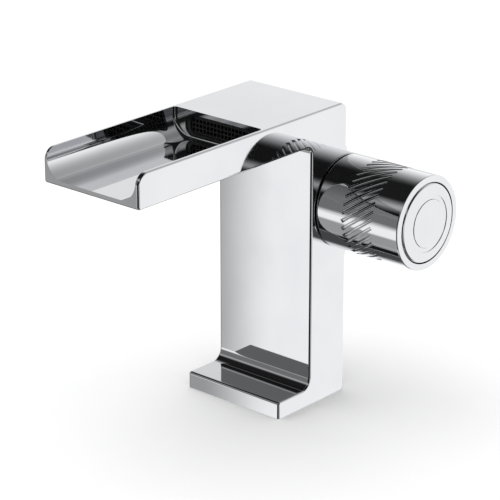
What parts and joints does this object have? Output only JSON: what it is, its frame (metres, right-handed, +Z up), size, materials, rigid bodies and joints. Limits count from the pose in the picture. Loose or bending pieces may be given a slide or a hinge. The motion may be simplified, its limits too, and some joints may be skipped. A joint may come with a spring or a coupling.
{
  "type": "basin faucet",
  "caption": "Deck-mounted waterfall basin faucet with an open trough spout and a side knob that turns for temperature and presses for flow.",
  "frame": {"origin": "centre of the base on the deck, at the seating face", "axes": "+Z up, -Y forward along the spout, +X towards the knob"},
  "size_m": [0.0933, 0.1417, 0.1264],
  "materials": {
    "chrome": "polished",
    "chrome_knob": "polished",
    "chrome_button": "polished",
    "chrome_inlay": "polished",
    "screen_black": "satin",
    "frame_black": "satin",
    "glide_black": "satin",
    "seal_black": "matte",
    "seal_grey": "matte",
    "housing_white": "semi-gloss",
    "ceramic": "polished",
    "brass": "turned",
    "hub_alloy": "cast, nickel plated",
    "steel": "turned",
    "spring_steel": "drawn wire"
  },
  "bodies": {
    "fixed": {"body": "chrome", "base_seal": "seal_grey", "outlet_frame": "frame_black", "outlet_mesh": "screen_black", "outlet_seal": "seal_grey", "cartridge_housing": "housing_white", "housing_seals": "seal_black", "inlet_seals": "seal_black", "fixed_disc": "ceramic", "cartridge_nut": "brass", "glide_ring": "glide_black"},
    "knob": {"knob_sleeve": "chrome_knob", "knob_hub": "hub_alloy", "hub_grub_screw": "steel", "spindle": "brass", "spindle_seals": "seal_black", "spindle_clip": "spring_steel", "turning_disc": "ceramic", "latch_barrel": "housing_white", "return_spring": "spring_steel"},
    "button": {"button_disc": "chrome_button", "button_inlay": "chrome_inlay", "button_screw": "steel", "push_rod": "steel", "rod_seals": "seal_black", "latch_cam": "housing_white", "poppet": "brass", "poppet_seal": "seal_black"}
  },
  "joints": [
    {"name": "knob_turn", "type": "hinge", "parent": "fixed", "child": "knob", "pos_m": [0.0462, 0.0209, 0.0842], "axis": [1, 0, 0], "range_deg": [-50, 50]},
    {"name": "button_press", "type": "slide", "parent": "knob", "child": "button", "axis": [-1, 0, 0], "range_m": [0, 0.0022], "stiffness_N_per_m": 600, "springref_m": -0.006, "deforming": ["return_spring"]}
  ]
}
